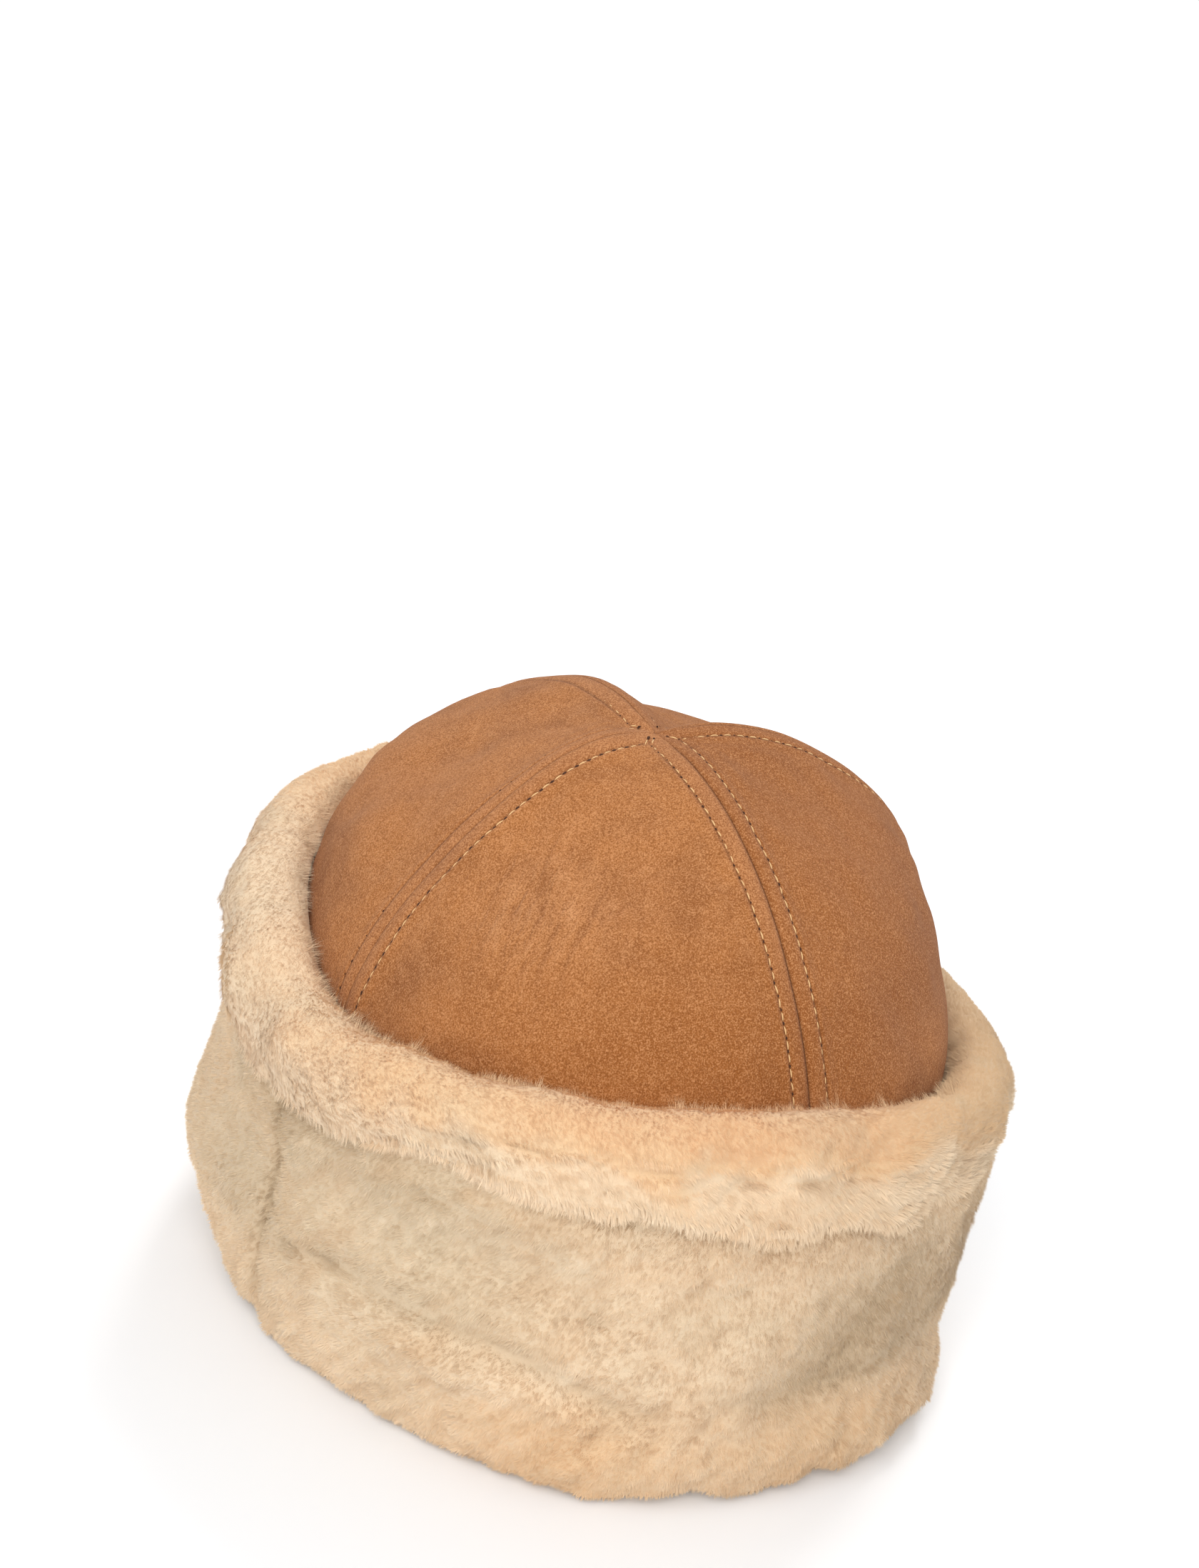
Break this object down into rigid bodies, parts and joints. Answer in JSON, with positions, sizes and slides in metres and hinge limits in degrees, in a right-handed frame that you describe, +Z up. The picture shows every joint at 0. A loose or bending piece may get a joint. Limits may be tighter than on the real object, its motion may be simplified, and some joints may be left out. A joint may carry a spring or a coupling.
{
  "type": "shearling hat with a turned-up fur cuff",
  "caption": "Round suede crown of sewn gores with a deep turned-up cuff of sheared fur, open below for the head.",
  "frame": {"origin": "on the floor under the middle of the hat's outline, at the height of the flat that the rolled foot rests on", "axes": "+Z up through the crown; -Y is the front, where one of the crown's seams runs; +X is the wearer's left"},
  "size_m": [0.2416, 0.2534, 0.2005],
  "materials": {
    "suede": "matt napped suede, tan",
    "fur": "dense sheared fur, cream"
  },
  "bodies": {
    "root": {"gore_front_left": "suede", "gore_back_left": "suede", "gore_back_right": "suede", "gore_front_right": "suede", "cuff_front": "fur", "cuff_back": "fur"}
  },
  "joints": []
}
